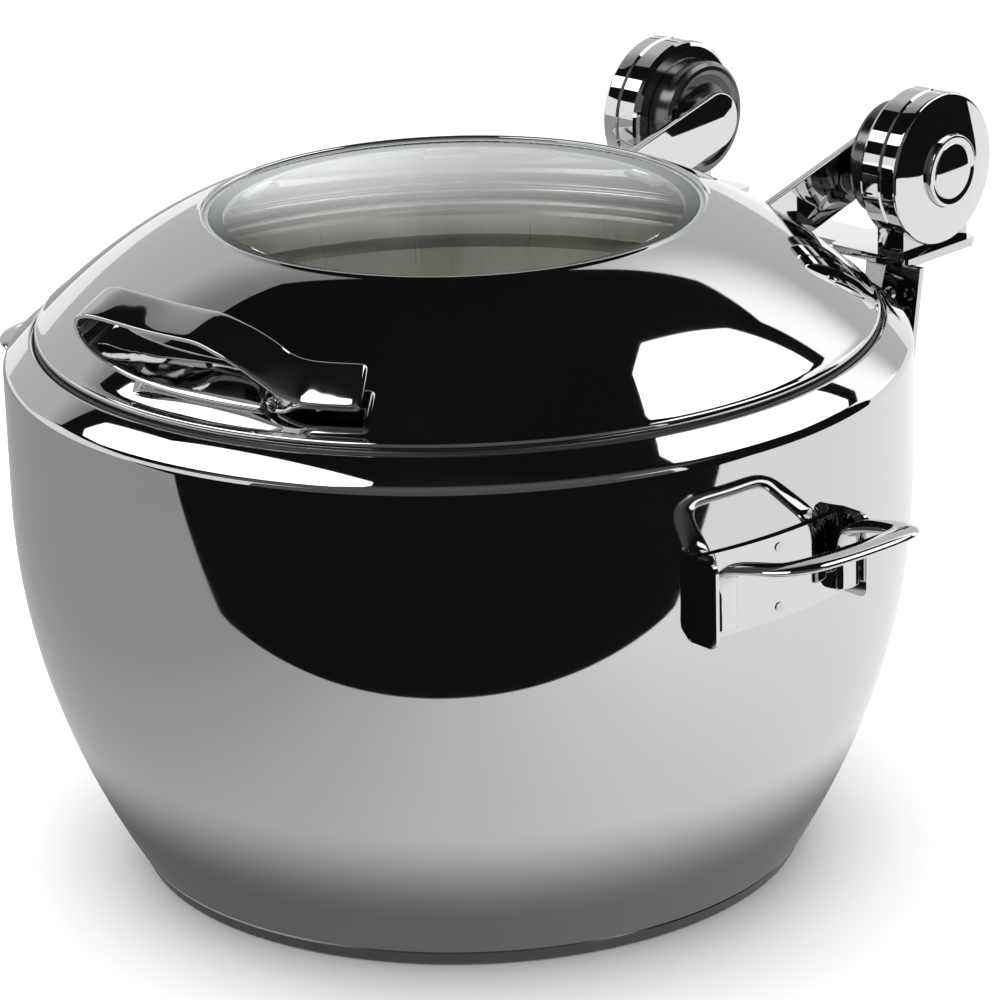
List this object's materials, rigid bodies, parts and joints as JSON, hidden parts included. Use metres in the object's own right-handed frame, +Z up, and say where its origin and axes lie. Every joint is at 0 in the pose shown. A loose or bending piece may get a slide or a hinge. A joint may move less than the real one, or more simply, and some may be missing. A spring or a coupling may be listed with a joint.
{
  "type": "roll top chafer",
  "caption": "Round mirror-polished roll top chafer: water bowl, lift-out insert pan and a windowed dome lid that turns back on friction hinges.",
  "frame": {"origin": "centre of the base disc's underside, on the floor", "axes": "+Z up; -Y is the front, where the lid handle is; the hinges are at +Y; the side handles are at +X and -X"},
  "size_m": [0.505, 0.459, 0.3072],
  "materials": {
    "mirror_steel": "mirror-polished stainless steel",
    "hinge_chrome": "polished chrome",
    "turned_steel": "dark turned steel",
    "satin_steel": "satin stainless steel with vertical grain",
    "base_steel": "polished stainless steel, worn underneath",
    "window_glass": "clear tempered glass with a green edge",
    "seal_rubber": "matt black silicone"
  },
  "bodies": {
    "base": {"outer_bowl": "mirror_steel", "base_disc": "base_steel", "lid_seat_ring": "seal_rubber", "side_plate_right": "mirror_steel", "side_plate_left": "mirror_steel", "side_grip_right": "mirror_steel", "side_grip_left": "mirror_steel", "plate_weld_right_top": "mirror_steel", "plate_weld_right_low": "mirror_steel", "plate_weld_left_top": "mirror_steel", "plate_weld_left_low": "mirror_steel", "bracket_foot_right": "mirror_steel", "bracket_foot_left": "mirror_steel", "hinge_post_right": "mirror_steel", "hinge_post_left": "mirror_steel", "post_rivet_right_1": "mirror_steel", "post_rivet_right_2": "mirror_steel", "post_rivet_right_3": "mirror_steel", "post_rivet_left_1": "mirror_steel", "post_rivet_left_2": "mirror_steel", "post_rivet_left_3": "mirror_steel", "hinge_shelf": "mirror_steel", "hinge_saddle_right": "mirror_steel", "hinge_saddle_left": "mirror_steel", "housing_outer_right": "hinge_chrome", "housing_outer_left": "hinge_chrome", "housing_inner_right": "hinge_chrome", "housing_inner_left": "hinge_chrome", "hub_cap_right": "hinge_chrome", "hub_cap_left": "hinge_chrome"},
    "lid": {"lid_shell": "mirror_steel", "window_glass": "window_glass", "window_gasket": "seal_rubber", "glass_clip_1": "mirror_steel", "glass_clip_2": "mirror_steel", "glass_clip_3": "mirror_steel", "glass_clip_4": "mirror_steel", "glass_clip_5": "mirror_steel", "glass_clip_6": "mirror_steel", "lid_handle": "mirror_steel", "handle_weld_near": "mirror_steel", "handle_weld_middle": "mirror_steel", "lid_arm_right": "mirror_steel", "lid_arm_left": "mirror_steel", "arm_hub_right": "mirror_steel", "arm_hub_left": "mirror_steel", "hinge_drum_right": "turned_steel", "hinge_drum_left": "turned_steel", "hinge_pin_right": "mirror_steel", "hinge_pin_left": "mirror_steel"},
    "insert": {"insert_pan": "satin_steel"}
  },
  "joints": [
    {"name": "lid_hinge", "type": "hinge", "parent": "base", "child": "lid", "pos_m": [0, 0.2265, 0.2722], "axis": [-1, 0, 0], "range_deg": [0, 90]},
    {"name": "pan_lift", "type": "slide", "parent": "base", "child": "insert", "axis": [0, 0, 1], "range_m": [0, 0.006]}
  ]
}
